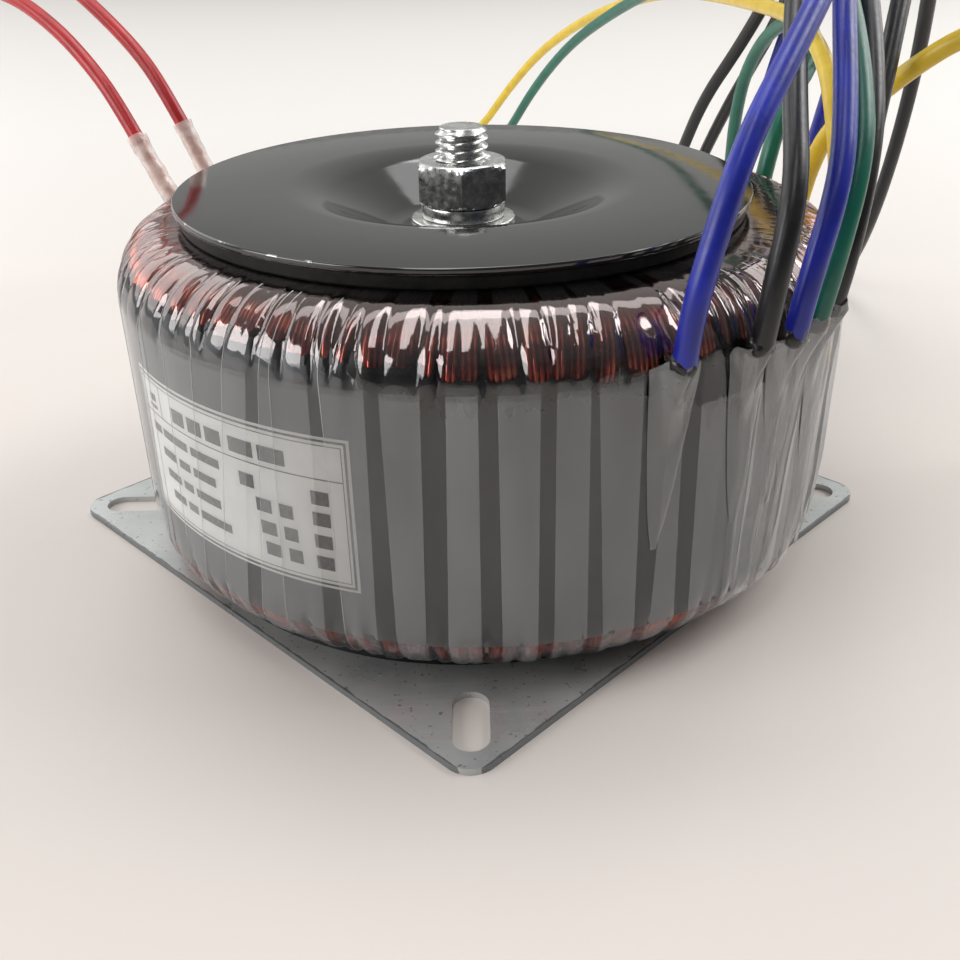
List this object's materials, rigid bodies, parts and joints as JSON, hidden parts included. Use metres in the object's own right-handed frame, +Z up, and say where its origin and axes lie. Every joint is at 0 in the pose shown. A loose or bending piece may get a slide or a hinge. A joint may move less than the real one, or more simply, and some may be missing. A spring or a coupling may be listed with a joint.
{
  "type": "toroidal transformer",
  "caption": "Toroidal mains transformer, a film-wrapped copper ring clamped between rubber pads to a square steel base plate by a central bolt, with coloured flying leads.",
  "frame": {"origin": "middle of the base plate's underside, on the clamping bolt's axis", "axes": "+Z up along the clamping bolt, -Y towards the plate's front corner"},
  "size_m": [0.2858, 0.3858, 0.1079],
  "materials": {
    "core_steel": "satin",
    "insulation": "matt",
    "copper": "gloss",
    "band_steel": "satin",
    "paper": "matt",
    "film": "gloss",
    "zinc_sheet": "satin",
    "pad_rubber": "matt",
    "black_paint": "gloss",
    "zinc_bolt": "satin",
    "sheath_blue": "satin",
    "sheath_black": "satin",
    "sheath_green": "satin",
    "sheath_yellow": "satin",
    "sheath_red": "satin",
    "tinned_strand": "satin",
    "sleeve": "gloss"
  },
  "bodies": {
    "root": {"core": "core_steel", "core_insulation": "insulation", "primary_winding": "copper", "primary_insulation": "insulation", "secondary_winding_low": "copper", "secondary_winding_mid": "copper", "secondary_insulation": "insulation", "secondary_winding_high": "copper", "shield_band": "band_steel", "rating_label": "paper", "film_wrap": "film", "base_plate": "zinc_sheet", "lower_pad": "pad_rubber", "upper_pad": "pad_rubber", "clamp_plate": "black_paint", "centre_bolt": "zinc_bolt", "flat_washer": "zinc_bolt", "spring_washer": "zinc_bolt", "hex_nut": "zinc_bolt", "lead_blue_a": "sheath_blue", "lead_black_a": "sheath_black", "lead_blue_b": "sheath_blue", "lead_green_a": "sheath_green", "lead_black_b": "sheath_black", "lead_black_c": "sheath_black", "lead_yellow_a": "sheath_yellow", "lead_yellow_b": "sheath_yellow", "lead_green_b": "sheath_green", "lead_red_a": "sheath_red", "lead_red_b": "sheath_red", "lead_blue_a_end": "tinned_strand", "lead_black_a_end": "tinned_strand", "lead_blue_b_end": "tinned_strand", "lead_green_a_end": "tinned_strand", "lead_black_b_end": "tinned_strand", "lead_black_c_end": "tinned_strand", "lead_yellow_a_end": "tinned_strand", "lead_yellow_b_end": "tinned_strand", "lead_green_b_end": "tinned_strand", "lead_red_a_end": "tinned_strand", "lead_red_b_end": "tinned_strand", "lead_sleeve_a": "sleeve", "lead_sleeve_b": "sleeve"}
  },
  "joints": []
}
